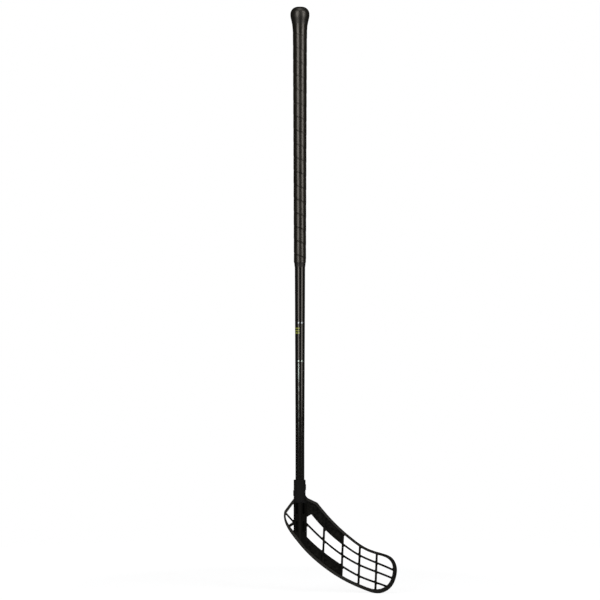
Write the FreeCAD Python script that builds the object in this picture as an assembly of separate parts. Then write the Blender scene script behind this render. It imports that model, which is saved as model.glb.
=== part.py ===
"""Floorball stick: a wound handle on a tapered tube, and a moulded lattice blade screwed on its foot.

Units are millimetres. Heights are worked out above the blade's lowest point, with the tube on the Z
axis, the toe of the blade on the +X side and the hollow of the blade facing -Y. Each finished piece is
then lowered, so that the middle of the handle is at the origin.
"""
import FreeCAD, Part
import math
import os
from FreeCAD import Vector

# Whole stick
STICK_LENGTH = 1110.0
SEAT_CLEARANCE = 0.05
OVERRUN = 3.0

# Shaft tube
TUBE_TOP_RADIUS = 11.9
TUBE_TIP_RADIUS = 8.5
TUBE_WALL = 1.3
TUBE_TAPER_FOOT = 290.0

# End cap
KNOB_RADIUS = 18.05
KNOB_HEIGHT = 33.0
BUTT_FACE_RADIUS = 4.5
CROWN_THICKNESS = 8.0
KNOB_PROFILE_SHARES = (
    (0.465, 0.972), (0.715, 0.904), (0.9, 0.793), (1.0, 0.558), (0.91, 0.258), (0.825, 0.0))
KNOB_ARC_TOLERANCE = 0.5
SKIRT_LENGTH = 12.0
SKIRT_LIP = 0.3
SPIGOT_LENGTH = 42.0
SPIGOT_BORE_RADIUS = 6.5
SPIGOT_RIBS = 8
SPIGOT_FLUTE_RADIUS = 2.4
SPIGOT_FLUTE_DEPTH = 0.9

# Grip tape
TAPE_THICKNESS = 1.7
TAPE_PITCH = 26.1
TAPE_GAP = 0.8
TAPE_TIP = 2.0
TAPE_FOOT_HEIGHT = 626.0
TAPE_SEAM_HEIGHT = 639.2
TAPE_POINTS_PER_TURN = 16

# Ring at the lower end of the tape
RING_HEIGHT = 8.5
RING_TOP_WALL = 1.1
RING_FOOT_WALL = 0.3
RING_WAIST_SHARES = (0.45, 0.30)

# Blade: neck and socket
NECK_HEIGHT = 214.0
NECK_LENGTH = 45.0
NECK_RADIUS = 11.25
NECK_SHIFT = 0.6
NECK_MOUTH_FILLET = 1.0
NECK_FOOT_FILLET = 5.0
SOCKET_DEPTH = 40.0
SOCKET_MOUTH_CHAMFER = 0.6

# Blade: outline, from the shoulder along the top edge, round the toe and back along the sole to the heel
BLADE_REACH = 183.0
BLADE_RISE = 184.0
EDGE_SHARES = (
    (0.182, 0.926), (0.352, 0.730), (0.544, 0.560), (0.700, 0.459), (0.847, 0.412), (0.950, 0.368),
    (0.997, 0.283), (0.992, 0.176), (0.937, 0.063), (0.822, 0.002), (0.667, 0.033), (0.462, 0.123),
    (0.240, 0.266), (0.062, 0.423), (-0.076, 0.588), (-0.147, 0.704), (-0.167, 0.799), (-0.160, 0.842))
STRUT_TOP_SHARES = (-0.030, 1.015)
GUSSET_SHARES = ((0.109, 0.961), (0.071, 0.985), (0.055, 1.016))
TOE_INDEX = 6
EDGE_SPAN_COUNT = 8
HEEL_CORNER_RADIUS = 3.0
SHOULDER_RADIUS = 6.0

# Blade: thicknesses, and the hook that turns the toe towards -Y
RIM_THICKNESS = 8.6
RIM_FILLET = 2.0
RIB_THICKNESS = 6.0
PANEL_THICKNESS = 2.8
HOOK_START_SHARE = 0.22
HOOK_RADIUS = 540.0

# Blade: rim widths, and the shares of the edge's length between which each one holds or blends
TOP_RIM_WIDTH = 4.3
TOE_RIM_WIDTH = 7.1
SOLE_RIM_WIDTH = 5.6
HEEL_RIM_WIDTH = 3.2
STRUT_WIDTH = 4.7
RIM_STATION_SHARES = (0.0, 0.31, 0.38, 0.50, 0.56, 0.92, 0.97, 1.0)
RIM_SAMPLES = 36
RIM_LEDGE = 0.5

# Blade: lattice, with each long rib's shares of the way down to the sole, at the column and cross ribs
LONG_RIB_SHARES = (
    (0.038, 0.291, 0.276, 0.262, 0.265), (0.445, 0.526, 0.507, 0.483, 0.485),
    (0.725, 0.752, 0.735, 0.738, 0.746))
LONG_RIB_WIDTH = 3.4
CROSS_RIB_SHARES = (0.247, 0.439, 0.613, 0.787)
CROSS_RIB_WIDTH = 4.0
CROSS_RIB_LEAN = 2.2
PANEL_COLUMNS = 2
CELL_CORNER_RADIUS = 1.4
GUSSET_WEB_SHARES = ((0.050, 0.766), (0.140, 0.822), (0.140, 0.900), (0.050, 0.900))
GUSSET_RIB_SHARES = ((0.128, 0.816), (0.260, 0.868))
HEEL_STRUT_SHARES = (((-0.164, 0.838), (-0.049, 0.709)), ((-0.137, 0.667), (-0.044, 0.731)))
HEEL_STRUT_WIDTHS = (3.2, 4.8)
HEEL_CELL_CORNER_RADIUS = 0.9
CORNER_LIMIT_SHARE = 0.4

# Blade: column that carries the neck's load down to the sole
COLUMN_WIDTH = 25.3
COLUMN_SHIFT = 0.65
COLUMN_TOP_DEPTH = 18.0
COLUMN_FOOT_DEPTH = 7.2
COLUMN_FOOT_HEIGHT = 76.0
FLUTE_WIDTH = 4.0
FLUTE_SPREAD = 6.2
FLUTE_WEB = 4.4
FLUTE_SPAN_SHARES = ((0.826, 0.918), (0.640, 0.730))

# Blade screws
SCREW_HEIGHTS = (200.0, 188.7)
SCREW_RADIUS = 1.75
SCREW_HEAD_RADIUS = 3.3
SCREW_HEAD_DEPTH = 1.7
SCREW_LENGTH = 10.0
SCREW_POINT_LENGTH = 2.2
SCREW_SINK = 0.2
SCREW_SLOT_LENGTH = 3.8
SCREW_SLOT_WIDTH = 0.9
SCREW_SLOT_DEPTH = 1.0
BOSS_RADIUS = 5.4
BOSS_STAND = 0.9
BOSS_FILLET = 0.6

# Places that follow from the sizes above
TUBE_TOP = STICK_LENGTH - CROWN_THICKNESS
TUBE_FOOT = NECK_HEIGHT - SOCKET_DEPTH + SEAT_CLEARANCE
KNOB_RIM = STICK_LENGTH - KNOB_HEIGHT
SKIRT_FOOT = KNOB_RIM - SKIRT_LENGTH
TAPE_TOP = KNOB_RIM - SEAT_CLEARANCE
TAPE_WIDTH = TAPE_PITCH - TAPE_GAP
KNOB_RIM_RADIUS = KNOB_PROFILE_SHARES[-1][0] * KNOB_RADIUS
HOLD_HEIGHT = (TAPE_TOP + TAPE_FOOT_HEIGHT) / 2
NECK_FOOT = NECK_HEIGHT - NECK_LENGTH
HOOK_START = HOOK_START_SHARE * BLADE_REACH
COLUMN_LEFT = COLUMN_SHIFT - COLUMN_WIDTH / 2
COLUMN_RIGHT = COLUMN_SHIFT + COLUMN_WIDTH / 2
X_AXIS = Vector(1, 0, 0)
Y_AXIS = Vector(0, 1, 0)
Z_AXIS = Vector(0, 0, 1)
ORIGIN = Vector(0, 0, 0)


# General helpers

def spline(points):
    """Smooth edge through the points."""
    curve = Part.BSplineCurve()
    curve.interpolate(points)
    return curve


def line(start, end):
    return Part.LineSegment(start, end).toShape()


def revolve_profile(edges):
    """Solid of revolution about Z from the edges of a closed profile in the XZ plane."""
    face = Part.Face(Part.Wire(edges))
    return face.revolve(ORIGIN, Z_AXIS, 360)


def polyline(points):
    """Straight edges from each point to the next."""
    return [line(start, end) for start, end in zip(points, points[1:])]


def save(node, shape):
    """Lowers a piece to the hold point's frame and writes it."""
    placed = shape.translated(Vector(0, 0, -HOLD_HEIGHT))
    placed.exportStep("parts/" + node + ".step")
    print(node, "volume", round(placed.Volume, 1), "valid", placed.isValid())


# Shaft tube

def tube_radius(height):
    """Outer radius of the tube: parallel at the foot, then an even taper to the top."""
    share = max(0.0, (height - TUBE_TAPER_FOOT) / (TUBE_TOP - TUBE_TAPER_FOOT))
    return TUBE_TIP_RADIUS + share * (TUBE_TOP_RADIUS - TUBE_TIP_RADIUS)


def make_shaft_tube():
    outer = [Vector(tube_radius(height), 0, height) for height in (TUBE_FOOT, TUBE_TAPER_FOOT, TUBE_TOP)]
    inner = [point - X_AXIS * TUBE_WALL for point in reversed(outer)]
    tube = revolve_profile(polyline(outer + inner + outer[:1]))
    return tube.cut(screw_holes())


# End cap

def cap_spigot():
    """Tapered spigot inside the tube, fluted so that its ribs grip, and hollow from below."""
    foot = TUBE_TOP - SPIGOT_LENGTH
    foot_radius = tube_radius(foot) - TUBE_WALL - SEAT_CLEARANCE
    top_radius = TUBE_TOP_RADIUS - TUBE_WALL - SEAT_CLEARANCE
    length = SPIGOT_LENGTH + OVERRUN
    spigot = Part.makeCone(foot_radius, top_radius, SPIGOT_LENGTH, Vector(0, 0, foot))
    spigot = spigot.fuse(Part.makeCylinder(top_radius, OVERRUN, Vector(0, 0, TUBE_TOP)))
    flute_ring = foot_radius + SPIGOT_FLUTE_RADIUS - SPIGOT_FLUTE_DEPTH
    for index in range(SPIGOT_RIBS):
        angle = 2 * math.pi * index / SPIGOT_RIBS
        base = Vector(flute_ring * math.cos(angle), flute_ring * math.sin(angle), foot - OVERRUN)
        spigot = spigot.cut(Part.makeCylinder(SPIGOT_FLUTE_RADIUS, length, base))
    bore = Part.makeCylinder(SPIGOT_BORE_RADIUS, length, Vector(0, 0, foot - OVERRUN))
    return spigot.cut(bore)


def make_end_cap():
    rim_point = Vector(KNOB_RIM_RADIUS, 0, KNOB_RIM)
    crown_points = [Vector(BUTT_FACE_RADIUS, 0, STICK_LENGTH)]
    for across, up in KNOB_PROFILE_SHARES:
        crown_points.append(Vector(across * KNOB_RADIUS, 0, KNOB_RIM + up * KNOB_HEIGHT))
    crown = Part.BSplineCurve()
    crown.interpolate(Points=crown_points, InitialTangent=X_AXIS, FinalTangent=rim_point - crown_points[-2])
    rebate = Vector(core_radius(KNOB_RIM), 0, KNOB_RIM)
    skirt_foot = Vector(tube_radius(SKIRT_FOOT) + SKIRT_LIP, 0, SKIRT_FOOT)
    skirt_inside = Vector(tube_radius(SKIRT_FOOT) + SEAT_CLEARANCE, 0, SKIRT_FOOT)
    socket_top = Vector(TUBE_TOP_RADIUS + SEAT_CLEARANCE, 0, TUBE_TOP + SEAT_CLEARANCE)
    axis_low = Vector(0, 0, TUBE_TOP + SEAT_CLEARANCE)
    axis_top = Vector(0, 0, STICK_LENGTH)
    edges = [arc.toShape() for arc in crown.toBiArcs(KNOB_ARC_TOLERANCE)]
    edges += polyline([rim_point, rebate, skirt_foot, skirt_inside, socket_top, axis_low, axis_top,
                       crown_points[0]])
    return revolve_profile(edges).fuse(cap_spigot()).removeSplitter()


# Grip tape

def core_radius(height):
    """Radius of what the tape is wound on: the tube, then the lip and flare of the cap's skirt."""
    lip_foot = SKIRT_FOOT - TAPE_WIDTH
    rim_core = KNOB_RIM_RADIUS - TAPE_THICKNESS - 2 * SEAT_CLEARANCE
    if height <= lip_foot:
        return tube_radius(height)
    if height <= SKIRT_FOOT:
        return tube_radius(height) + SKIRT_LIP * (height - lip_foot) / TAPE_WIDTH
    share = (height - SKIRT_FOOT) / SKIRT_LENGTH
    foot_core = tube_radius(SKIRT_FOOT) + SKIRT_LIP
    return foot_core + share * (rim_core - foot_core)


def tape_edge(turn, upper, outer):
    """Point on one of the strip's four edges, a number of turns up from the seam's lowest front point."""
    rise = TAPE_SEAM_HEIGHT + TAPE_PITCH * turn
    if upper:
        height = min(rise + TAPE_WIDTH, TAPE_TOP)
    else:
        height = max(rise, TAPE_FOOT_HEIGHT)
    radius = core_radius(height) + SEAT_CLEARANCE + (TAPE_THICKNESS if outer else 0)
    angle = -math.pi / 2 - 2 * math.pi * turn
    return Vector(radius * math.cos(angle), radius * math.sin(angle), height)


def tape_breaks():
    """Turn counts where the strip is divided: its ends, where an edge levels off, and each whole turn."""
    first = (TAPE_FOOT_HEIGHT + TAPE_TIP - TAPE_WIDTH - TAPE_SEAM_HEIGHT) / TAPE_PITCH
    last = (TAPE_TOP - TAPE_TIP - TAPE_SEAM_HEIGHT) / TAPE_PITCH
    level_foot = (TAPE_FOOT_HEIGHT - TAPE_SEAM_HEIGHT) / TAPE_PITCH
    level_top = (TAPE_TOP - TAPE_WIDTH - TAPE_SEAM_HEIGHT) / TAPE_PITCH
    whole_turns = int(level_top - level_foot)
    middle = [level_foot + turn * (level_top - level_foot) / whole_turns for turn in range(whole_turns + 1)]
    return [first] + middle + [last]


def make_grip_tape():
    """One unbroken strip: ruled faces between four winding edges, closed by a face at each end."""
    breaks = tape_breaks()
    corners = ((False, False), (False, True), (True, True), (True, False))
    faces = []
    for start, end in zip(breaks, breaks[1:]):
        count = max(4, math.ceil(TAPE_POINTS_PER_TURN * (end - start)))
        turns = [start + step * (end - start) / count for step in range(count + 1)]
        edges = [spline([tape_edge(turn, *corner) for turn in turns]).toShape() for corner in corners]
        for index, edge in enumerate(edges):
            faces.append(Part.makeRuledSurface(edge, edges[(index + 1) % len(edges)]))
    for turn in (breaks[0], breaks[-1]):
        ring = [tape_edge(turn, *corner) for corner in corners]
        faces.append(Part.Face(Part.makePolygon(ring + ring[:1])))
    shell = Part.Compound(faces)
    shell.sewShape()
    strip = Part.Solid(shell.Shells[0])
    if strip.Volume < 0:
        strip.reverse()
    return strip


def tape_least_gap():
    """Least distance between a turn's upper edge and the turn above it, measured on points."""
    breaks = tape_breaks()
    samples = int((breaks[-1] - breaks[0]) * TAPE_POINTS_PER_TURN)
    turns = [breaks[0] + step * (breaks[-1] - breaks[0]) / samples for step in range(samples + 1)]
    least = TAPE_PITCH
    for turn in turns:
        upper = tape_edge(turn, True, True)
        for step in range(-2, 3):
            above = turn + 1 + step / TAPE_POINTS_PER_TURN ** 2
            if above < breaks[-1]:
                least = min(least, upper.distanceToPoint(tape_edge(above, False, True)))
    return least


# Ring at the lower end of the tape

def make_grip_end_ring():
    top = TAPE_FOOT_HEIGHT - SEAT_CLEARANCE
    foot = top - RING_HEIGHT
    waist_height = foot + RING_WAIST_SHARES[0] * RING_HEIGHT
    waist_wall = RING_FOOT_WALL + RING_WAIST_SHARES[1] * (RING_TOP_WALL - RING_FOOT_WALL)
    inside_top = Vector(tube_radius(top) + SEAT_CLEARANCE, 0, top)
    inside_foot = Vector(tube_radius(foot) + SEAT_CLEARANCE, 0, foot)
    outside_top = inside_top + X_AXIS * RING_TOP_WALL
    outside_foot = inside_foot + X_AXIS * RING_FOOT_WALL
    waist = Vector(tube_radius(waist_height) + SEAT_CLEARANCE + waist_wall, 0, waist_height)
    edges = [Part.Arc(outside_top, waist, outside_foot).toShape()]
    edges += polyline([outside_foot, inside_foot, inside_top, outside_top])
    return revolve_profile(edges)


# Blade: outline and slabs

def blade_point(share):
    """Point of the blade's side view from shares of its reach and rise."""
    return Vector(share[0] * BLADE_REACH, 0, share[1] * BLADE_RISE)


def prism(edges):
    """Solid of a closed side-view outline, run right through the blade from front to back."""
    reach = HOOK_RADIUS - math.sqrt(HOOK_RADIUS ** 2 - BLADE_REACH ** 2) + COLUMN_WIDTH
    face = Part.Face(Part.Wire(edges)).translated(Y_AXIS * -reach)
    return face.extrude(Y_AXIS * 2 * reach)


def prism_of_points(points):
    return prism(polyline(points + points[:1]))


def hook_slab(thickness):
    """Space between the blade's two faces: flat by the heel, then rolled towards -Y out to the toe."""
    half = thickness / 2
    left = COLUMN_LEFT - BLADE_RISE
    turn = math.asin((BLADE_REACH + OVERRUN - HOOK_START) / (HOOK_RADIUS - half))

    def on_arc(radius, share):
        angle = turn * share
        return Vector(HOOK_START + radius * math.sin(angle), radius * math.cos(angle) - HOOK_RADIUS, -OVERRUN)

    back = [on_arc(HOOK_RADIUS + half, step / 2) for step in range(3)]
    front = [on_arc(HOOK_RADIUS - half, step / 2) for step in range(3)]
    back_left = Vector(left, half, -OVERRUN)
    front_left = Vector(left, -half, -OVERRUN)
    edges = [line(back_left, back[0]), Part.Arc(*back).toShape(), line(back[2], front[2])]
    edges += [Part.Arc(*reversed(front)).toShape(), line(front[0], front_left), line(front_left, back_left)]
    return Part.Face(Part.Wire(edges)).extrude(Z_AXIS * (NECK_HEIGHT + 2 * OVERRUN))


def edge_curve():
    """The blade's edge from the shoulder round the toe to the heel."""
    return spline([blade_point(share) for share in EDGE_SHARES])


def spans(curve, count):
    """The curve as a chain of shorter edges, so that each face made from it stays small."""
    first = curve.FirstParameter
    step = (curve.LastParameter - first) / count
    return [curve.toShape(first + index * step, first + (index + 1) * step) for index in range(count)]


def edge_height(curve, across, upper):
    """Height of the top edge or of the sole at a distance from the tube's axis."""
    shoulder = blade_point(EDGE_SHARES[0])
    gusset = blade_point(GUSSET_SHARES[0])
    if upper and across <= shoulder.x:
        slope = (gusset.z - shoulder.z) / (gusset.x - shoulder.x)
        return shoulder.z + slope * (across - shoulder.x)
    toe = curve.parameter(blade_point(EDGE_SHARES[TOE_INDEX]))
    low, high = (curve.FirstParameter, toe) if upper else (toe, curve.LastParameter)
    while high - low > Part.Precision.confusion():
        middle = (low + high) / 2
        if (curve.value(middle).x < across) == upper:
            low = middle
        else:
            high = middle
    return curve.value(low).z


def runs_through(edge):
    """Whether an edge runs straight from the blade's front to its back."""
    middle = (edge.FirstParameter + edge.LastParameter) / 2
    return abs(edge.tangentAt(middle).dot(Y_AXIS)) > math.cos(math.radians(1))


def round_cell(cell, radius):
    """Rounds a cell's corners, by less where one of its sides is short."""
    sides = [edge.Length for edge in cell.Edges if not runs_through(edge)]
    limit = CORNER_LIMIT_SHARE * min(sides)
    return cell.makeFillet(min(radius, limit), [edge for edge in cell.Edges if runs_through(edge)])


def round_corner(solid, corner, radius):
    """Rounds the edge that runs through one corner of the side view."""
    edges = []
    for edge in solid.Edges:
        centre = edge.CenterOfMass
        away = Vector(centre.x - corner.x, 0, centre.z - corner.z)
        if runs_through(edge) and away.Length < SEAT_CLEARANCE:
            edges.append(edge)
    return solid.makeFillet(radius, edges)


def outline_prism(curve):
    """Side view of the whole blade below the neck."""
    shoulder = blade_point(EDGE_SHARES[0])
    heel = blade_point(EDGE_SHARES[-1])
    strut_top = blade_point(STRUT_TOP_SHARES)
    gusset = [blade_point(share) for share in GUSSET_SHARES]
    edges = spans(curve, EDGE_SPAN_COUNT) + [line(heel, strut_top), line(strut_top, gusset[2])]
    edges += [Part.Arc(gusset[2], gusset[1], gusset[0]).toShape(), line(gusset[0], shoulder)]
    solid = round_corner(prism(edges), shoulder, SHOULDER_RADIUS)
    return round_corner(solid, heel, HEEL_CORNER_RADIUS)


def rounded_slab(curve):
    """The blade at its full rim thickness, with its outer edges rounded on both faces."""
    slab = outline_prism(curve).common(hook_slab(RIM_THICKNESS)).Solids[0]
    edges = []
    for edge in slab.Edges:
        middle = edge.valueAt((edge.FirstParameter + edge.LastParameter) / 2)
        at_hook_start = abs(middle.x - HOOK_START) < SEAT_CLEARANCE and edge.Length > BLADE_RISE / 4
        in_neck = middle.z > blade_point(STRUT_TOP_SHARES).z - SEAT_CLEARANCE
        if not (runs_through(edge) or at_hook_start or in_neck):
            edges.append(edge)
    return slab.makeFillet(RIM_FILLET, edges)


def rim_width(share):
    """Width of the rim at a share of the edge's length."""
    widths = (TOP_RIM_WIDTH, TOP_RIM_WIDTH, TOE_RIM_WIDTH, TOE_RIM_WIDTH, SOLE_RIM_WIDTH, SOLE_RIM_WIDTH,
              HEEL_RIM_WIDTH, HEEL_RIM_WIDTH)
    for index, station in enumerate(RIM_STATION_SHARES[1:]):
        if share <= station:
            span = station - RIM_STATION_SHARES[index]
            part = (share - RIM_STATION_SHARES[index]) / span
            return widths[index] + part * (widths[index + 1] - widths[index])
    return widths[-1]


def offset_line(start, end, distance):
    """A straight line's two ends moved to the right of its direction, as seen in the side view."""
    along = (end - start).normalize()
    shift = Vector(along.z, 0, -along.x) * distance
    return start + shift, end + shift


def crossing(first, second):
    """Where two straight lines of the side view meet."""
    a, b = first
    c, d = second
    u = b - a
    v = d - c
    share = ((c.x - a.x) * v.z - (c.z - a.z) * v.x) / (u.x * v.z - u.z * v.x)
    return a + u * share


def rim_zone(curve, ledge, span_count):
    """Everything inside the rim, a ledge's width away from it."""
    length = curve.length()
    inner = []
    for step in range(RIM_SAMPLES + 1):
        share = step / RIM_SAMPLES
        at = curve.parameterAtDistance(share * length, curve.FirstParameter)
        along = curve.tangent(at)[0]
        inner.append(curve.value(at) + Vector(along.z, 0, -along.x) * (rim_width(share) + ledge))
    high = NECK_HEIGHT
    ends = [inner[-1], Vector(inner[-1].x, 0, high), Vector(inner[0].x, 0, high), inner[0]]
    round_edge = prism(spans(spline(inner), span_count) + polyline(ends))
    shoulder = blade_point(EDGE_SHARES[0])
    heel = blade_point(EDGE_SHARES[-1])
    gusset_line = offset_line(blade_point(GUSSET_SHARES[0]), shoulder, TOP_RIM_WIDTH + ledge)
    strut_line = offset_line(heel, blade_point(STRUT_TOP_SHARES), STRUT_WIDTH + ledge)
    apex = crossing(gusset_line, strut_line)
    left = apex + (strut_line[0] - apex) * 2
    right = apex + (gusset_line[1] - apex).normalize() * 2 * BLADE_REACH
    low = left.z - BLADE_REACH
    below = [left, apex, right, Vector(right.x, 0, low), Vector(left.x, 0, low)]
    return round_edge.common(prism_of_points(below))


# Blade: lattice

def strip(points, width):
    """Side-view band of even width along a smooth line through the points."""
    if len(points) == 2:
        left = offset_line(points[0], points[1], -width / 2)
        right = offset_line(points[0], points[1], width / 2)
        return prism_of_points([left[0], left[1], right[1], right[0]])
    curve = spline(points)
    sides = []
    for side in (-width / 2, width / 2):
        moved = []
        for point in points:
            along = curve.tangent(curve.parameter(point))[0]
            moved.append(point + Vector(along.z, 0, -along.x) * side)
        sides.append(moved)
    upper, lower = sides
    edges = [spline(upper).toShape(), line(upper[-1], lower[-1])]
    edges += [spline(lower).toShape(), line(lower[0], upper[0])]
    return prism(edges)


def lattice_height(curve, across, share):
    """Height at a share of the way down from the top edge to the sole."""
    top = edge_height(curve, across, True)
    return top + share * (edge_height(curve, across, False) - top)


def long_ribs(curve):
    """Ribs that follow the blade's length, and run straight on from the last cross rib to the toe."""
    stations = [COLUMN_SHIFT] + [share * BLADE_REACH for share in CROSS_RIB_SHARES]
    ribs = []
    for shares in LONG_RIB_SHARES:
        places = zip(stations, shares)
        points = [Vector(across, 0, lattice_height(curve, across, down)) for across, down in places]
        run = points[-1] - points[-2]
        points.append(points[-1] + run * ((BLADE_REACH + OVERRUN - points[-1].x) / run.x))
        ribs.append(strip(points, LONG_RIB_WIDTH))
    return ribs


def cross_ribs(curve):
    """Ribs from the top edge to the sole, leaning a little towards the toe at the top."""
    ribs = []
    for share in CROSS_RIB_SHARES:
        across = share * BLADE_REACH
        middle = Vector(across, 0, lattice_height(curve, across, LONG_RIB_SHARES[1][-1]))
        lean = math.radians(CROSS_RIB_LEAN)
        reach = Vector(math.sin(lean), 0, math.cos(lean)) * BLADE_RISE / 2
        ribs.append(strip([middle - reach, middle + reach], CROSS_RIB_WIDTH))
    return ribs


def side_box(low, high):
    """Full-height block between two distances from the tube's axis."""
    return prism_of_points([Vector(low, 0, -OVERRUN), Vector(high, 0, -OVERRUN), Vector(high, 0, NECK_HEIGHT),
                            Vector(low, 0, NECK_HEIGHT)])


def lattice_cells(curve, zone):
    """Cells between the ribs, as (solid, whether it is a panel) with rounded corners."""
    field = zone.common(side_box(COLUMN_RIGHT, BLADE_REACH + OVERRUN))
    ribs = long_ribs(curve) + cross_ribs(curve)
    ribs.append(prism_of_points([blade_point(share) for share in GUSSET_WEB_SHARES]))
    ribs.append(strip([blade_point(share) for share in GUSSET_RIB_SHARES], CROSS_RIB_WIDTH))
    cells = []
    for cell in field.cut(ribs).Solids:
        centre = cell.CenterOfMass
        top = edge_height(curve, centre.x, True)
        share = (top - centre.z) / (top - edge_height(curve, centre.x, False))
        outer_row = share < LONG_RIB_SHARES[0][-1] or share > LONG_RIB_SHARES[-1][-1]
        near_neck = centre.x < CROSS_RIB_SHARES[PANEL_COLUMNS - 1] * BLADE_REACH
        cells.append((round_cell(cell, CELL_CORNER_RADIUS), outer_row and near_neck))
    return cells


def heel_cells(zone):
    """Openings between the heel's struts."""
    field = zone.common(side_box(COLUMN_LEFT - BLADE_RISE, COLUMN_LEFT))
    struts = []
    for shares, width in zip(HEEL_STRUT_SHARES, HEEL_STRUT_WIDTHS):
        struts.append(strip([blade_point(share) for share in shares], width))
    return [round_cell(cell, HEEL_CELL_CORNER_RADIUS) for cell in field.cut(struts).Solids]


# Blade: neck and column

def neck_solid():
    """Round neck that takes the tube, a little thicker towards the heel."""
    axis = Vector(-NECK_SHIFT, 0, NECK_FOOT)
    neck = Part.makeCylinder(NECK_RADIUS, NECK_LENGTH, axis)
    rims = [edge for edge in neck.Edges if edge.Closed]
    top_rims = [edge for edge in rims if edge.CenterOfMass.z > NECK_FOOT + NECK_LENGTH / 2]
    neck = neck.makeFillet(NECK_MOUTH_FILLET, top_rims)
    foot_rims = [edge for edge in neck.Edges if edge.Closed and edge.CenterOfMass.z < NECK_FOOT + OVERRUN]
    return neck.makeFillet(NECK_FOOT_FILLET, foot_rims)


def screw_sides():
    """Each screw's height and the side it is driven from, +1 at the toe side and -1 at the heel side."""
    return tuple(zip(SCREW_HEIGHTS, (1, -1)))


def screw_face(side):
    """Distance from the tube's axis to the face of a screw's boss."""
    return NECK_RADIUS - side * NECK_SHIFT + BOSS_STAND


def neck_bosses():
    bosses = []
    for height, side in screw_sides():
        direction = X_AXIS * side
        boss = Part.makeCylinder(BOSS_RADIUS, screw_face(side) - TUBE_TIP_RADIUS,
                                 Vector(side * TUBE_TIP_RADIUS, 0, height), direction)
        rim = [edge for edge in boss.Edges if edge.Closed
               and abs(edge.CenterOfMass.x) > screw_face(side) - BOSS_STAND / 2]
        bosses.append(boss.makeFillet(BOSS_FILLET, rim))
    return bosses


def column_solid(curve):
    """Column under the neck: a deep oval at the neck that flattens to a thin one at the sole."""
    ovals = []
    for height, depth in ((NECK_FOOT + NECK_FOOT_FILLET, COLUMN_TOP_DEPTH),
                          (COLUMN_FOOT_HEIGHT, COLUMN_FOOT_DEPTH)):
        oval = Part.Ellipse(ORIGIN, COLUMN_WIDTH / 2, depth / 2)
        oval.Center = Vector(COLUMN_SHIFT, 0, height)
        ovals.append(Part.Wire(oval.toShape()))
    column = Part.makeLoft(ovals, True, True)
    return column.common(rim_zone(curve, -SOLE_RIM_WIDTH / 2, EDGE_SPAN_COUNT))


def column_flutes():
    """Round-ended hollows in pairs on both faces of the column."""
    flutes = []
    for low_share, high_share in FLUTE_SPAN_SHARES:
        low = low_share * BLADE_RISE
        high = high_share * BLADE_RISE
        for side in (-1, 1):
            across = COLUMN_SHIFT + side * FLUTE_SPREAD
            half = FLUTE_WIDTH / 2
            corners = [Vector(across - half, 0, low), Vector(across + half, 0, low),
                       Vector(across + half, 0, high), Vector(across - half, 0, high)]
            middle_low = Vector(across, 0, low - half)
            middle_high = Vector(across, 0, high + half)
            edges = [Part.Arc(corners[0], middle_low, corners[1]).toShape(), line(corners[1], corners[2])]
            edges += [Part.Arc(corners[2], middle_high, corners[3]).toShape(), line(corners[3], corners[0])]
            flutes.append(prism(edges).cut(hook_slab(FLUTE_WEB)))
    return flutes


def socket():
    """Blind bore for the tube, eased at its mouth."""
    radius = TUBE_TIP_RADIUS + SEAT_CLEARANCE
    bore = Part.makeCylinder(radius, SOCKET_DEPTH + OVERRUN, Vector(0, 0, NECK_HEIGHT - SOCKET_DEPTH))
    mouth = Part.makeCone(radius, radius + SOCKET_MOUTH_CHAMFER, SOCKET_MOUTH_CHAMFER,
                          Vector(0, 0, NECK_HEIGHT - SOCKET_MOUTH_CHAMFER))
    return bore.fuse(mouth)


def make_blade():
    curve = edge_curve()
    recess = rim_zone(curve, 0, EDGE_SPAN_COUNT).cut(hook_slab(RIB_THICKNESS))
    zone = rim_zone(curve, RIM_LEDGE, 1)
    hollows = heel_cells(zone)
    for cell, is_panel in lattice_cells(curve, zone):
        hollows.append(cell.cut(hook_slab(PANEL_THICKNESS)) if is_panel else cell)
    plate = rounded_slab(curve).cut(recess).cut(hollows)
    body = plate.fuse([neck_solid(), column_solid(curve)] + neck_bosses())
    return body.cut([socket()] + column_flutes() + screw_holes() + screw_seats())


# Blade screws

def screw_holes():
    """Holes for the screws' shanks, from the neck's outside to the middle of the tube."""
    radius = SCREW_RADIUS + SEAT_CLEARANCE
    holes = []
    for height, side in screw_sides():
        length = screw_face(side) + OVERRUN
        holes.append(Part.makeCylinder(radius, length, Vector(0, 0, height), X_AXIS * side))
    return holes


def screw_head(side, height, clearance):
    """Countersunk head, with its face sunk below the boss."""
    face = screw_face(side) - SCREW_SINK
    base = Vector(side * (face - SCREW_HEAD_DEPTH), 0, height)
    return Part.makeCone(SCREW_RADIUS + clearance, SCREW_HEAD_RADIUS + clearance, SCREW_HEAD_DEPTH, base,
                         X_AXIS * side)


def screw_seats():
    """Countersinks in the bosses, open to the outside."""
    seats = []
    for height, side in screw_sides():
        face = screw_face(side) - SCREW_SINK
        mouth = Part.makeCylinder(SCREW_HEAD_RADIUS + SEAT_CLEARANCE, SCREW_SINK + OVERRUN,
                                  Vector(side * face, 0, height), X_AXIS * side)
        seats += [screw_head(side, height, SEAT_CLEARANCE), mouth]
    return seats


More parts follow.
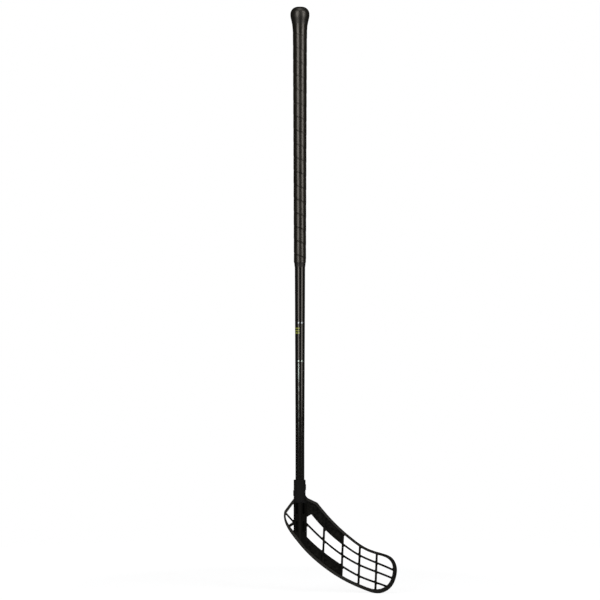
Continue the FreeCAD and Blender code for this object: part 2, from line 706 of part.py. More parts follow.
def make_screw(height, side):
    direction = X_AXIS * side
    face = screw_face(side) - SCREW_SINK
    point = face - SCREW_LENGTH
    shank = Part.makeCylinder(SCREW_RADIUS, SCREW_LENGTH - SCREW_POINT_LENGTH,
                              Vector(side * (point + SCREW_POINT_LENGTH), 0, height), direction)
    tip = Part.makeCone(0, SCREW_RADIUS, SCREW_POINT_LENGTH, Vector(side * point, 0, height), direction)
    screw = shank.fuse([tip, screw_head(side, height, 0)])
    for width, length in ((SCREW_SLOT_WIDTH, SCREW_SLOT_LENGTH), (SCREW_SLOT_LENGTH, SCREW_SLOT_WIDTH)):
        slot = Part.makeBox(2 * SCREW_SLOT_DEPTH, width, length,
                            Vector(side * face - SCREW_SLOT_DEPTH, -width / 2, height - length / 2))
        screw = screw.cut(slot)
    return screw.removeSplitter()


os.makedirs("parts", exist_ok=True)
save("shaft_tube", make_shaft_tube())
save("end_cap", make_end_cap())
save("grip_tape", make_grip_tape())
print("least gap between turns of the grip tape", round(tape_least_gap(), 3))
save("grip_end_ring", make_grip_end_ring())
save("blade", make_blade())
for name, (screw_height, screw_side) in zip(("upper_blade_screw", "lower_blade_screw"), screw_sides()):
    save(name, make_screw(screw_height, screw_side))
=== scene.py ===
import math

import bmesh
import bpy
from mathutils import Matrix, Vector


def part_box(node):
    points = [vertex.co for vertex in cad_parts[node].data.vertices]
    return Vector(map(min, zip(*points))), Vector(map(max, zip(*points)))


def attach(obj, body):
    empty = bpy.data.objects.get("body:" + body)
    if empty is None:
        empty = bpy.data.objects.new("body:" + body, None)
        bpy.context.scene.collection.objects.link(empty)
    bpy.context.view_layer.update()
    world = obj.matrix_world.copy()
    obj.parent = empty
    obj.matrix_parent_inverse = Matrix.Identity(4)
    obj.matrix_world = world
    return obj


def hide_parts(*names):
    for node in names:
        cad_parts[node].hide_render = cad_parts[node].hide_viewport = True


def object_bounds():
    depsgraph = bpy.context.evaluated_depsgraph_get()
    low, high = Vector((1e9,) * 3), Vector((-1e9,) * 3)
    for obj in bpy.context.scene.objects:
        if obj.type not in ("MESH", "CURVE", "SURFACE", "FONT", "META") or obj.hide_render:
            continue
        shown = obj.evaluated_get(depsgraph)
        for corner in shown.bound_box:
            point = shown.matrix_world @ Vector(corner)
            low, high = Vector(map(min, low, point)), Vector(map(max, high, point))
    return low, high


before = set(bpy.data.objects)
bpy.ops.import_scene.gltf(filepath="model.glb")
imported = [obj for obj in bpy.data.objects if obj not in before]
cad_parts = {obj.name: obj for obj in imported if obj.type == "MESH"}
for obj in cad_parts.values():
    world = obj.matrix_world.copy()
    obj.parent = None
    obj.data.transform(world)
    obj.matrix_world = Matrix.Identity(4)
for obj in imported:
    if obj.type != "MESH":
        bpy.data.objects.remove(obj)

cad_low, cad_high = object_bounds()
tube_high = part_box("shaft_tube")[1]
tape_low, tape_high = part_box("grip_tape")

# Photograph: its frame and the stick's place in it, in pixels and metres per pixel
PHOTO_WIDTH_PX = 600
PHOTO_SCALE = 0.001895
AXIS_COLUMN_PX = 299.93
LOWEST_ROW_PX = 592.6
CAMERA_DISTANCE = 5.0
SENSOR_WIDTH_MM = 36.0

# Studio
FLOOR_RADIUS = 1.1
FLOOR_SIDES = 96
FLOOR_COLOR = (0.80, 0.855, 0.94, 1)
FLOOR_GLOW = 1.12
SHADOW_RADII = (0.45, 1.0)
SHADOW_GLOW_SHARE = 0.80
WHITE = (1, 1, 1, 1)
ROOM_LIGHT = 0.09
ROOM_REFLECTION = 0.04
BACKDROP_EDGES = (0.92, 0.985)
SOFTBOX_WIDTHS = (1.0, 0.92)
SOFTBOX_LEVELS = (-0.60, 0.0, 2.045)
SOFTBOX_DISTANCE = 2.2
SOFTBOX_AZIMUTHS = (-33.0, 47.0)
SOFTBOX_RADIANCES = (4.2, 5.9)
SOFTBOX_COLOR = (1.0, 0.935, 0.85)
TOP_LIGHT_SIZE = 1.3
TOP_LIGHT_HEIGHT = 2.2
TOP_LIGHT_FORWARD = 0.6
TOP_LIGHT_RADIANCE = 2.6

# Wound grip
TUBE_TIP_RADIUS = 0.0085
TUBE_TAPER_RISE = 0.290
SKIRT_LENGTH = 0.012
SKIRT_LIP = 0.0003
RIM_CORE_RADIUS = 0.0132
TAPE_THICKNESS = 0.00155
TAPE_PITCH = 0.0261
TAPE_WIDTH = 0.0260
TAPE_TIP = 0.0003
TAPE_SEAM_RISE = 0.6392
TAPE_STEPS_PER_TURN = 64
TAPE_SECTION_SHARES = (0.02, 0.05, 0.10, 0.18, 0.30, 0.45, 0.60, 0.75, 0.87, 0.94, 0.98)
LIP_REACH = 0.0014
LIP_RISE = 0.00030
LIP_SHARES = (1, 0.75, 0.5, 0.25)
EDGE_SKIVE = 0.00030
EDGE_STEP = 0.00030
ROLL_REACH = 0.0030
ROLL_DROP = 0.00038
LAP_DEPTHS = (0.95, 0.65)
TAPE_CROWN = 0.00010
LIP_POWER = 3
SKIVE_POWER = 8
FLARE_POWER = 1.4
MERGE_DISTANCE = 0.000001
CUT_EDGE_ANGLE = math.radians(85)

# All finishes: where noise mostly lies, and how a moulded skin's clouds and sink marks go by its grain
NOISE_RANGE = (0.3, 0.7)
CLOUD_GRAINS = 30
SINK_DEPTHS = 6
SINK_STRENGTH = 0.35
SKIN_STRENGTH = 0.6

# Finish of the wrap: lengths of its grains and of their relief, and the dull line at its laps
WRAP_COLORS = ((0.0050, 0.0044, 0.0028, 1), (0.0086, 0.0076, 0.0053, 1))
WRAP_SPECULAR = 0.53
WRAP_ROUGHNESS = (0.28, 0.35)
WRAP_HOLLOW_GRAIN = 0.016
WRAP_HOLLOW_DEPTH = 0.0007
WRAP_HOLLOW_STRENGTH = 0.30
LEATHER_GRAIN = 0.0009
LEATHER_DEPTH = 0.00004
LEATHER_STRENGTH = 0.4
HALF_TURN = 0.5
LAP_LINE_HALF_WIDTH = 0.0028
LAP_LINE_DEPTHS = (0.62, 0.10)

# Finish of the cap, the ring and the screws
CAP_COLORS = ((0.0042, 0.0039, 0.0032, 1), (0.0072, 0.0067, 0.0057, 1))
CAP_SPECULAR = 0.55
CAP_ROUGHNESS = (0.35, 0.42)
CAP_GRAIN = 0.0008
CAP_GRAIN_DEPTH = 0.00004
RING_COLORS = ((0.0035, 0.0034, 0.0030, 1), (0.0060, 0.0058, 0.0052, 1))
RING_SPECULAR = 0.45
RING_ROUGHNESS = (0.34, 0.44)
RING_GRAIN = 0.0006
RING_GRAIN_DEPTH = 0.00003
STEEL_COLORS = ((0.016, 0.016, 0.017, 1), (0.075, 0.073, 0.070, 1))
STEEL_SPECULAR = 0.3
STEEL_ROUGHNESS = (0.34, 0.50)
STEEL_WEAR = 0.35
STEEL_GRAIN = 0.0008
STEEL_GRAIN_DEPTH = 0.00004
STEEL_GRAIN_STRENGTH = 0.4

# Blade: grains, colours and places of its finish, and of its painted shade and painted highlights
BLADE_CLOUD_GRAIN = 0.014
BLADE_FLECK_GRAIN = 0.0050
BLADE_SKIN_GRAIN = 0.0011
BLADE_SKIN_DEPTH = 0.00005
BLADE_SINK_DEPTH = 0.0003
BLADE_SPECULAR = 0.04
BLADE_ROUGHNESS = (0.55, 0.68)
CLOUD_LEAST = 0.4
RIM_HIGHLIGHT_LEAST = 0.3
PANEL_COLORS = ((0.0008, 0.0008, 0.0007, 1), (0.0120, 0.0119, 0.0110, 1))
# Painted shade on the blade's column, and a painted highlight along its crest
COLUMN_SHADE_AND_CREST_HIGHLIGHT_COLORS = ((0.0026, 0.0026, 0.0023, 1), (0.0066, 0.0065, 0.0060, 1))
NECK_COLORS = ((0.0062, 0.0062, 0.0065, 1), (0.0088, 0.0088, 0.0093, 1))
# Painted highlight on the blade's proud rim, broken by noise and fading out towards the toe
RIM_HIGHLIGHT_COLOR = (0.030, 0.030, 0.028, 1)
NECK_FOOT_RISE = 0.1725
NECK_BLEND = 0.003
HOOK_START = 0.04026
HOOK_RADIUS = 0.540
RIM_STAND = 0.0043
RIM_STAND_SLACK = 0.0003
COLUMN_SHIFT = 0.00065
COLUMN_HALF_WIDTH = 0.01265
CREST_HALF_WIDTH = 0.0006
SOLE_RISE = 0.0988
SOLE_DROP = 1.36
PAINTED_LIGHT_BLEND = 0.002
TOE_HIGHLIGHT_PLACES = (0.195, 0.080)

# Marks on the shaft, by photograph row, and by angle round the shaft from its front
RING_MARK_ROWS_PX = (322.7, 360.9)
RING_MARK_HEIGHTS = (0.0030, 0.0028)
RING_MARK_COLORS = ((0.17, 0.195, 0.22, 1), (0.20, 0.25, 0.24, 1))
BAR_ROWS_PX = (328.3, 330.6, 332.9)
BAR_HEIGHT = 0.0026
BAR_ANGLE = -0.85
BAR_HALF_ANGLE = 0.75
BAR_COLOR = (0.19, 0.22, 0.035, 1)
STREAK_ROWS_PX = (363.0, 441.0)
STREAK_ANGLE = -0.275
STREAK_HALF_ANGLE = 0.09
STREAK_SOLID_ROW_PX = 378.3
STREAK_DASH = 0.017
STREAK_GAP_SHARE = 0.35
STREAK_DASH_LEVEL = 0.45
STREAK_FOOT_LEVEL = 0.05
# The streak is print, painted pale where its foil would reflect the left softbox: partly a painted reflection
STREAK_PRINT_AND_REFLECTION_COLOR = (0.36, 0.46, 0.45, 1)

# Finish of the shaft
LACQUER_COLORS = ((0.0045, 0.0044, 0.0039, 1), (0.0075, 0.0073, 0.0066, 1))
LACQUER_SPECULAR = 0.5
LACQUER_ROUGHNESS = (0.10, 0.14)
DUST_GRAIN = 0.006
WEAVE_BAND = 0.0088
WEAVE_DISTORTION = 0.4
WEAVE_DEPTH = 0.000003
WEAVE_STRENGTH = 0.06


def photo_height(row_px):
    """Height in the frame of a row of the photograph."""
    return cad_low.z + (LOWEST_ROW_PX - row_px) * PHOTO_SCALE


# Nodes

def add(tree, kind, inputs, **settings):
    """A new shader node, with its inputs set or linked by name or number."""
    made = tree.nodes.new(kind)
    for name, value in settings.items():
        setattr(made, name, value)
    for name, value in inputs.items():
        if isinstance(value, bpy.types.NodeSocket):
            tree.links.new(value, made.inputs[name])
        else:
            made.inputs[name].default_value = value
    return made


def math_node(tree, operation, *values):
    """Result of a sum on numbers or sockets."""
    return add(tree, "ShaderNodeMath", dict(enumerate(values)), operation=operation).outputs[0]


def blend(tree, factor, first, second):
    """Colour between two colours."""
    made = add(tree, "ShaderNodeMix", {0: factor, 6: first, 7: second}, data_type="RGBA")
    return made.outputs[2]


def noise(tree, coords, grain, detail):
    """Noise whose grain is a length in metres."""
    made = add(tree, "ShaderNodeTexNoise", {"Vector": coords, "Scale": 1 / grain, "Detail": detail})
    return made.outputs["Fac"]


def map_range(tree, value, source, target):
    """A value carried evenly from one range to another, and held at its ends."""
    made = add(tree, "ShaderNodeMapRange", {"Value": value, "From Min": source[0], "From Max": source[1],
                                            "To Min": target[0], "To Max": target[1]})
    return made.outputs["Result"]


def spread(tree, value, low, high):
    """Noise, which mostly lies in a narrow range, spread over a wider one."""
    return map_range(tree, value, NOISE_RANGE, (low, high))


def ramp(tree, value, low, high):
    """0 at a low value and 1 at a high one, even between."""
    return map_range(tree, value, (low, high), (0, 1))


def bump(tree, height, distance, strength, below=None):
    """Normal of a relief of some depth, over another relief where there is one."""
    inputs = {"Height": height, "Distance": distance, "Strength": strength}
    if below is not None:
        inputs["Normal"] = below
    return add(tree, "ShaderNodeBump", inputs).outputs["Normal"]


def new_material(name, inputs):
    """Material with its shader's plain inputs set, as (material, tree, shader, object coordinates)."""
    material = bpy.data.materials.new(name)
    material.use_nodes = True
    tree = material.node_tree
    shader = tree.nodes["Principled BSDF"]
    for socket, value in inputs.items():
        shader.inputs[socket].default_value = value
    coords = add(tree, "ShaderNodeTexCoord", {}).outputs["Object"]
    return material, tree, shader, coords


def finish_shader(tree, shader, color, roughness, normal):
    """Links what most materials work out."""
    tree.links.new(color, shader.inputs["Base Color"])
    tree.links.new(roughness, shader.inputs["Roughness"])
    tree.links.new(normal, shader.inputs["Normal"])


# Materials

def moulded_plastic(name, colors, specular, roughness, grain, depth):
    """Moulded plastic: cloudy colour, uneven gloss, and an eroded grain over faint sink marks."""
    material, tree, shader, coords = new_material(name, {"Specular IOR Level": specular})
    cloud = noise(tree, coords, grain * CLOUD_GRAINS, detail=4)
    fine = noise(tree, coords, grain, detail=3)
    color = blend(tree, spread(tree, cloud, 0, 1), *colors)
    gloss = spread(tree, cloud, *roughness)
    sinks = bump(tree, cloud, depth * SINK_DEPTHS, SINK_STRENGTH)
    normal = bump(tree, fine, depth, SKIN_STRENGTH, sinks)
    finish_shader(tree, shader, color, gloss, normal)
    return material


def rim_stand(tree, axes):
    """Distance of a point from the blade's middle surface, which is flat and then rolled towards the toe."""
    past_start = math_node(tree, "MAXIMUM", math_node(tree, "SUBTRACT", axes["X"], HOOK_START), 0)
    from_centre = math_node(tree, "ADD", axes["Y"], HOOK_RADIUS)
    arm = add(tree, "ShaderNodeCombineXYZ", {"X": past_start, "Y": from_centre}).outputs[0]
    radius = add(tree, "ShaderNodeVectorMath", {0: arm}, operation="LENGTH").outputs["Value"]
    return math_node(tree, "ABSOLUTE", math_node(tree, "SUBTRACT", radius, HOOK_RADIUS))


def blade_plastic(name):
    """Moulded blade: mottled plastic, paler on the neck, with painted shade on the column, a painted
    highlight along the column's crest, and a painted highlight, broken by noise, on its proud rim.
    """
    material, tree, shader, coords = new_material(name, {"Specular IOR Level": BLADE_SPECULAR})
    axes = add(tree, "ShaderNodeSeparateXYZ", {0: coords}).outputs
    cloud = noise(tree, coords, BLADE_CLOUD_GRAIN, detail=5)
    fleck = noise(tree, coords, BLADE_FLECK_GRAIN, detail=3)
    fine = noise(tree, coords, BLADE_SKIN_GRAIN, detail=3)
    mottle = math_node(tree, "MULTIPLY", spread(tree, cloud, CLOUD_LEAST, 1), spread(tree, fleck, 0, 1))
    color = blend(tree, mottle, *PANEL_COLORS)
    # Painted shade: the column between the sole and the neck is darker, with a painted highlight along its
    # crest
    aside = math_node(tree, "ABSOLUTE", math_node(tree, "SUBTRACT", axes["X"], COLUMN_SHIFT))
    sloped = math_node(tree, "MULTIPLY_ADD", axes["X"], SOLE_DROP, axes["Z"])
    sole = cad_low.z + SOLE_RISE
    above_sole = ramp(tree, sloped, sole, sole + PAINTED_LIGHT_BLEND)
    within = ramp(tree, aside, COLUMN_HALF_WIDTH + PAINTED_LIGHT_BLEND, COLUMN_HALF_WIDTH - PAINTED_LIGHT_BLEND)
    on_column = math_node(tree, "MULTIPLY", above_sole, within)
    crest = ramp(tree, math_node(tree, "ABSOLUTE", axes["X"]), CREST_HALF_WIDTH + PAINTED_LIGHT_BLEND, CREST_HALF_WIDTH)
    color = blend(tree, on_column, color, blend(tree, crest, *COLUMN_SHADE_AND_CREST_HIGHLIGHT_COLORS))
    neck_foot = cad_low.z + NECK_FOOT_RISE
    on_neck = ramp(tree, axes["Z"], neck_foot - NECK_BLEND, neck_foot)
    color = blend(tree, on_neck, color, blend(tree, fine, *NECK_COLORS))
    # Painted highlight: a paler colour on the proud rim, broken up by noise and fading out towards the toe
    proud = math_node(tree, "GREATER_THAN", rim_stand(tree, axes), RIM_STAND - RIM_STAND_SLACK)
    proud = math_node(tree, "MULTIPLY", proud, math_node(tree, "SUBTRACT", 1, on_column))
    towards_heel = ramp(tree, axes["X"], *TOE_HIGHLIGHT_PLACES)
    patchy = math_node(tree, "MULTIPLY", spread(tree, fine, RIM_HIGHLIGHT_LEAST, 1), towards_heel)
    rim_highlight = math_node(tree, "MULTIPLY", proud, patchy)
    color = blend(tree, rim_highlight, color, RIM_HIGHLIGHT_COLOR)
    gloss = spread(tree, cloud, *BLADE_ROUGHNESS)
    sinks = bump(tree, cloud, BLADE_SINK_DEPTH, SINK_STRENGTH)
    normal = bump(tree, fine, BLADE_SKIN_DEPTH, SKIN_STRENGTH, sinks)
    finish_shader(tree, shader, color, gloss, normal)
    return material


def coated_steel(name):
    """Black coated steel, with the coat rubbed thin in specks."""
    material, tree, shader, coords = new_material(name, {"Specular IOR Level": STEEL_SPECULAR})
    specks = noise(tree, coords, STEEL_GRAIN, detail=5)
    patchy = spread(tree, specks, 0, STEEL_WEAR)
    color = blend(tree, patchy, *STEEL_COLORS)
    gloss = spread(tree, specks, *STEEL_ROUGHNESS)
    normal = bump(tree, specks, STEEL_GRAIN_DEPTH, STEEL_GRAIN_STRENGTH)
    tree.links.new(patchy, shader.inputs["Metallic"])
    finish_shader(tree, shader, color, gloss, normal)
    return material


def around_axis(tree, axes):
    """Angle round the shaft from its front, positive on the toe's side."""
    return math_node(tree, "ARCTAN2", axes["X"], math_node(tree, "MULTIPLY", axes["Y"], -1))


def lap_line(tree, coords):
    """How dull a point is from being near the edge of a lap, which is more so towards the winding's foot."""
    axes = add(tree, "ShaderNodeSeparateXYZ", {0: coords}).outputs
    edge = cad_low.z + TAPE_SEAM_RISE - LIP_REACH
    turned = math_node(tree, "DIVIDE", around_axis(tree, axes), 2 * math.pi)
    risen = math_node(tree, "DIVIDE", math_node(tree, "SUBTRACT", axes["Z"], edge), TAPE_PITCH)
    near = math_node(tree, "PINGPONG", math_node(tree, "ADD", turned, risen), HALF_TURN)
    line = ramp(tree, math_node(tree, "MULTIPLY", near, TAPE_PITCH), LAP_LINE_HALF_WIDTH, 0)
    depth = map_range(tree, axes["Z"], (tape_low.z, tape_high.z), LAP_LINE_DEPTHS)
    return math_node(tree, "MULTIPLY", line, depth)


def grip_wrap(name):
    """Cushioned wrap: a fine leathery grain on a surface that gives a little unevenly, dull at its laps."""
    material, tree, shader, coords = new_material(name, {})
    sheen = math_node(tree, "MULTIPLY_ADD", lap_line(tree, coords), -WRAP_SPECULAR, WRAP_SPECULAR)
    tree.links.new(sheen, shader.inputs["Specular IOR Level"])
    soft = noise(tree, coords, WRAP_HOLLOW_GRAIN, detail=2)
    cells = {"Vector": coords, "Scale": 1 / LEATHER_GRAIN}
    leather = add(tree, "ShaderNodeTexVoronoi", cells, feature="SMOOTH_F1").outputs["Distance"]
    color = blend(tree, spread(tree, soft, 0, 1), *WRAP_COLORS)
    gloss = spread(tree, soft, *WRAP_ROUGHNESS)
    hollows = bump(tree, soft, WRAP_HOLLOW_DEPTH, WRAP_HOLLOW_STRENGTH)
    normal = bump(tree, leather, LEATHER_DEPTH, LEATHER_STRENGTH, hollows)
    finish_shader(tree, shader, color, gloss, normal)
    return material


def shaft_marks(tree, around, height, color):
    """Colour and foil of two rings, a block of short bars, and a fading printed line whose pale colour is
    partly a painted reflection, laid over the shaft's colour.
    """
    foil = 0
    for row, size, tint in zip(RING_MARK_ROWS_PX, RING_MARK_HEIGHTS, RING_MARK_COLORS):
        mask = math_node(tree, "COMPARE", height, photo_height(row), size / 2)
        color = blend(tree, mask, color, tint)
        foil = math_node(tree, "MAXIMUM", mask, foil)
    beside = math_node(tree, "COMPARE", around, BAR_ANGLE, BAR_HALF_ANGLE)
    for row in BAR_ROWS_PX:
        bar = math_node(tree, "COMPARE", height, photo_height(row), BAR_HEIGHT / 2)
        color = blend(tree, math_node(tree, "MULTIPLY", bar, beside), color, BAR_COLOR)
    top, foot = [photo_height(row) for row in STREAK_ROWS_PX]
    # Printed streak over the left highlight, whose pale colour is partly a painted reflection of the left
    # softbox
    line = math_node(tree, "COMPARE", around, STREAK_ANGLE, STREAK_HALF_ANGLE)
    inside = math_node(tree, "COMPARE", height, (top + foot) / 2, (top - foot) / 2)
    fade = map_range(tree, height, (foot, top), (STREAK_FOOT_LEVEL, 1))
    above = math_node(tree, "GREATER_THAN", height, photo_height(STREAK_SOLID_ROW_PX))
    part = math_node(tree, "FRACT", math_node(tree, "DIVIDE", height, STREAK_DASH))
    dash = math_node(tree, "GREATER_THAN", part, STREAK_GAP_SHARE)
    shown = math_node(tree, "MAXIMUM", above, math_node(tree, "MULTIPLY", dash, STREAK_DASH_LEVEL))
    place = math_node(tree, "MULTIPLY", line, inside)
    mask = math_node(tree, "MULTIPLY", place, math_node(tree, "MULTIPLY", shown, fade))
    return blend(tree, mask, color, STREAK_PRINT_AND_REFLECTION_COLOR), foil


def shaft_lacquer(name):
    """Satin lacquer over a rolled fibre composite, whose weave shows faintly, with printed marks."""
    material, tree, shader, coords = new_material(name, {"Specular IOR Level": LACQUER_SPECULAR})
    axes = add(tree, "ShaderNodeSeparateXYZ", {0: coords}).outputs
    around = around_axis(tree, axes)
    arc = math_node(tree, "MULTIPLY", around, tube_high.x)
    sheet = add(tree, "ShaderNodeCombineXYZ", {"X": arc, "Y": axes["Z"]}).outputs[0]
    bands = {"Vector": sheet, "Scale": 1 / WEAVE_BAND, "Distortion": WEAVE_DISTORTION}
    weave = add(tree, "ShaderNodeTexWave", bands, bands_direction="DIAGONAL").outputs["Fac"]
    dust = noise(tree, coords, DUST_GRAIN, detail=4)
    color = blend(tree, weave, *LACQUER_COLORS)
    color, foil = shaft_marks(tree, around, axes["Z"], color)
    tree.links.new(foil, shader.inputs["Metallic"])
    gloss = spread(tree, dust, *LACQUER_ROUGHNESS)
    normal = bump(tree, weave, WEAVE_DEPTH, WEAVE_STRENGTH)
    finish_shader(tree, shader, color, gloss, normal)
    return material


def paint(name, material):
    """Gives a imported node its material."""
    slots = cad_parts[name].data.materials
    slots.clear()
    slots.append(material)


# Wound grip

def tube_radius(height):
    """Radius of the tube: parallel at its foot, then an even taper to its top."""
    foot = cad_low.z + TUBE_TAPER_RISE
    share = max(0.0, (height - foot) / (tube_high.z - foot))
    return TUBE_TIP_RADIUS + share * (tube_high.x - TUBE_TIP_RADIUS)


def core_radius(height):
    """Radius under the wrap, which flares out over the cap's skirt to meet the knob."""
    flare_foot = tape_high.z - SKIRT_LENGTH
    ease = max(0.0, 1 - max(0.0, flare_foot - height) / TAPE_PITCH)
    radius = tube_radius(height) + SKIRT_LIP * ease
    if height > flare_foot:
        share = (height - flare_foot) / SKIRT_LENGTH
        radius += share ** FLARE_POWER * (RIM_CORE_RADIUS - radius)
    return radius


def lap_height(up, depth):
    """Height of the strip's outside over the core, at a distance up from its lower edge."""
    share = max(0.0, up / TAPE_WIDTH)
    roll = max(0.0, 1 - (up + LIP_REACH) / ROLL_REACH)
    lift = LIP_RISE * (1 - share) ** LIP_POWER - EDGE_SKIVE * share ** SKIVE_POWER - ROLL_DROP * roll ** 2
    return TAPE_THICKNESS + lift * depth + TAPE_CROWN * 4 * share * (1 - share)


def wrap_section(depth, low, high):
    """Outline of the strip, as (distance up, height over the core), cut off at a low and a high distance."""
    lip_base = TAPE_THICKNESS - EDGE_SKIVE * depth
    inside = 0 if high > 0 else lip_base
    foot, lip, top = [min(max(up, low), high) for up in (0, -LIP_REACH, TAPE_WIDTH)]
    section = [(foot, inside), (foot, lip_base), (lip, lip_base)]
    places = [-share * LIP_REACH for share in LIP_SHARES]
    places += [share * TAPE_WIDTH for share in TAPE_SECTION_SHARES]
    for place in places:
        up = min(max(place, low), high)
        section.append((up, lap_height(up, depth)))
    section += [(top, max(inside, lip_base - EDGE_STEP)), (top, inside)]
    return section


def make_wrap():
    """One strip wound up the handle from its foot to the knob, cut level at both ends."""
    seam = cad_low.z + TAPE_SEAM_RISE
    first = (tape_low.z + TAPE_TIP - TAPE_WIDTH - seam) / TAPE_PITCH
    last = (tape_high.z + LIP_REACH - TAPE_TIP - seam) / TAPE_PITCH
    steps = math.ceil((last - first) * TAPE_STEPS_PER_TURN)
    points = []
    for step in range(steps + 1):
        share = step / steps
        turn = first + share * (last - first)
        angle = -math.pi / 2 - 2 * math.pi * turn
        rise = seam + TAPE_PITCH * turn
        depth = LAP_DEPTHS[0] + share * (LAP_DEPTHS[1] - LAP_DEPTHS[0])
        section = wrap_section(depth, tape_low.z - rise, tape_high.z - rise)
        for up, over in section:
            radius = core_radius(rise + up) + over
            points.append((radius * math.cos(angle), radius * math.sin(angle), rise + up))
    count = len(section)
    faces = []
    for step in range(steps):
        here = step * count
        for side in range(count):
            after = (side + 1) % count
            faces.append((here + side, here + after, here + count + after, here + count + side))
    faces += [tuple(reversed(range(count))), tuple(range(steps * count, (steps + 1) * count))]
    mesh = bpy.data.meshes.new("wound_grip")
    mesh.from_pydata(points, [], faces)
    shell = bmesh.new()
    shell.from_mesh(mesh)
    bmesh.ops.remove_doubles(shell, verts=shell.verts, dist=MERGE_DISTANCE)
    shell.to_mesh(mesh)
    shell.free()
    mesh.polygons.foreach_set("use_smooth", [True] * len(mesh.polygons))
    mesh.set_sharp_from_angle(angle=CUT_EDGE_ANGLE)
    wrap = bpy.data.objects.new("wound_grip", mesh)
    bpy.context.scene.collection.objects.link(wrap)
    return wrap


# Studio

def make_world():
    """Dim room with a white backdrop behind the stick, which the eye sees all round."""
    world = bpy.data.worlds.new("studio")
    world.use_nodes = True
    bpy.context.scene.world = world
    tree = world.node_tree
    path = add(tree, "ShaderNodeLightPath", {}).outputs
    outward = add(tree, "ShaderNodeTexCoord", {}).outputs["Generated"]
    behind = add(tree, "ShaderNodeSeparateXYZ", {0: outward}).outputs["Y"]
    backdrop = map_range(tree, behind, BACKDROP_EDGES, (ROOM_REFLECTION, 1))
    mirrored = math_node(tree, "MAXIMUM", path["Is Glossy Ray"], path["Is Transmission Ray"])
    reflected = math_node(tree, "MULTIPLY", mirrored, backdrop)
    lit = math_node(tree, "MULTIPLY", math_node(tree, "SUBTRACT", 1, mirrored), ROOM_LIGHT)
    strength = math_node(tree, "MAXIMUM", path["Is Camera Ray"], math_node(tree, "ADD", reflected, lit))
    background = tree.nodes["Background"]
    background.inputs["Color"].default_value = WHITE
    tree.links.new(strength, background.inputs["Strength"])


def make_floor():
    """Pale floor under the blade: white to the eye, with the stick's own shadow left on it."""
    mesh = bpy.data.meshes.new("studio_floor")
    turns = [2 * math.pi * side / FLOOR_SIDES for side in range(FLOOR_SIDES)]
    rim = [(FLOOR_RADIUS * math.cos(turn), FLOOR_RADIUS * math.sin(turn), cad_low.z) for turn in turns]
    mesh.from_pydata(rim, [], [tuple(range(FLOOR_SIDES))])
    floor = bpy.data.objects.new("studio_floor", mesh)
    bpy.context.scene.collection.objects.link(floor)
    material = bpy.data.materials.new("studio_floor")
    material.use_nodes = True
    tree = material.node_tree
    tree.nodes.remove(tree.nodes["Principled BSDF"])
    path = add(tree, "ShaderNodeLightPath", {}).outputs
    seen = math_node(tree, "MAXIMUM", path["Is Camera Ray"], path["Is Glossy Ray"])
    seen = math_node(tree, "MAXIMUM", seen, path["Is Transmission Ray"])
    coords = add(tree, "ShaderNodeTexCoord", {}).outputs["Object"]
    level = add(tree, "ShaderNodeVectorMath", {0: coords, 1: (1, 1, 0)}, operation="MULTIPLY").outputs[0]
    away = add(tree, "ShaderNodeVectorMath", {0: level}, operation="LENGTH").outputs["Value"]
    whiten = map_range(tree, away, SHADOW_RADII, (SHADOW_GLOW_SHARE, 1))
    paper = add(tree, "ShaderNodeBsdfDiffuse", {"Color": FLOOR_COLOR})
    glow = add(tree, "ShaderNodeEmission", {"Color": WHITE, "Strength": FLOOR_GLOW})
    share = math_node(tree, "MULTIPLY", seen, whiten)
    mixed = add(tree, "ShaderNodeMixShader", {0: share, 1: paper.outputs[0], 2: glow.outputs[0]})
    tree.links.new(mixed.outputs[0], tree.nodes["Material Output"].inputs["Surface"])
    mesh.materials.append(material)


def make_softbox(name, width, height, radiance, place, facing):
    """Flat soft light of a given radiance, which the camera doesn't see."""
    light = bpy.data.lights.new(name, "AREA")
    light.shape = "RECTANGLE"
    light.size = width
    light.size_y = height
    light.energy = radiance * math.pi * width * height
    light.color = SOFTBOX_COLOR
    lamp = bpy.data.objects.new(name, light)
    bpy.context.scene.collection.objects.link(lamp)
    lamp.location = place
    lamp.rotation_euler = facing.to_track_quat("-Z", "Y").to_euler()
    lamp.visible_camera = False


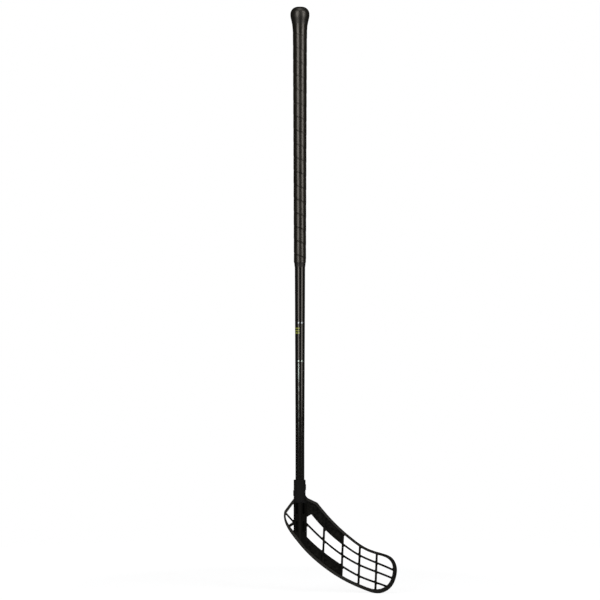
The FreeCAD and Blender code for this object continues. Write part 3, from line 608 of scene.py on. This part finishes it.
def make_lights():
    """On each side of the front a tall softbox over a dimmer one, and one overhead for the knob's crown."""
    spans = list(zip(("lower", "upper"), SOFTBOX_LEVELS, SOFTBOX_LEVELS[1:], SOFTBOX_RADIANCES))
    for side, azimuth, width in zip(("left", "right"), SOFTBOX_AZIMUTHS, SOFTBOX_WIDTHS):
        turn = math.radians(azimuth)
        outward = Vector((math.sin(turn), -math.cos(turn), 0))
        for level, foot, top, radiance in spans:
            place = outward * SOFTBOX_DISTANCE + Vector((0, 0, (foot + top) / 2))
            make_softbox("softbox_%s_%s" % (level, side), width, top - foot, radiance, place, -outward)
    overhead = Vector((0, -TOP_LIGHT_FORWARD, TOP_LIGHT_HEIGHT))
    down = Vector((0, 0, -1))
    make_softbox("softbox_top", TOP_LIGHT_SIZE, TOP_LIGHT_SIZE, TOP_LIGHT_RADIANCE, overhead, down)


def make_camera():
    """Level camera in front of the stick, framed as the photograph is."""
    data = bpy.data.cameras.new("photo_camera")
    middle_px = PHOTO_WIDTH_PX / 2
    aim = Vector(((middle_px - AXIS_COLUMN_PX) * PHOTO_SCALE, 0, photo_height(middle_px)))
    data.sensor_width = SENSOR_WIDTH_MM
    data.lens = SENSOR_WIDTH_MM * CAMERA_DISTANCE / (PHOTO_WIDTH_PX * PHOTO_SCALE)
    camera = bpy.data.objects.new("photo_camera", data)
    bpy.context.scene.collection.objects.link(camera)
    camera.location = aim - Vector((0, CAMERA_DISTANCE, 0))
    camera.rotation_euler = Vector((0, 1, 0)).to_track_quat("-Z", "Y").to_euler()
    bpy.context.scene.camera = camera


# The stick
paint("shaft_tube", shaft_lacquer("shaft_lacquer"))
paint("end_cap", moulded_plastic("cap_plastic", CAP_COLORS, CAP_SPECULAR, CAP_ROUGHNESS, CAP_GRAIN,
                                 CAP_GRAIN_DEPTH))
paint("grip_end_ring", moulded_plastic("ring_rubber", RING_COLORS, RING_SPECULAR, RING_ROUGHNESS, RING_GRAIN,
                                       RING_GRAIN_DEPTH))
paint("blade", blade_plastic("blade_plastic"))
screw_steel = coated_steel("screw_steel")
paint("upper_blade_screw", screw_steel)
paint("lower_blade_screw", screw_steel)

wrap = make_wrap()
wrap.data.materials.append(grip_wrap("grip_wrap"))
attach(wrap, "root")
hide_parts("grip_tape")

# The studio
make_world()
make_floor()
make_lights()
make_camera()
bpy.context.scene.view_settings.view_transform = "Standard"
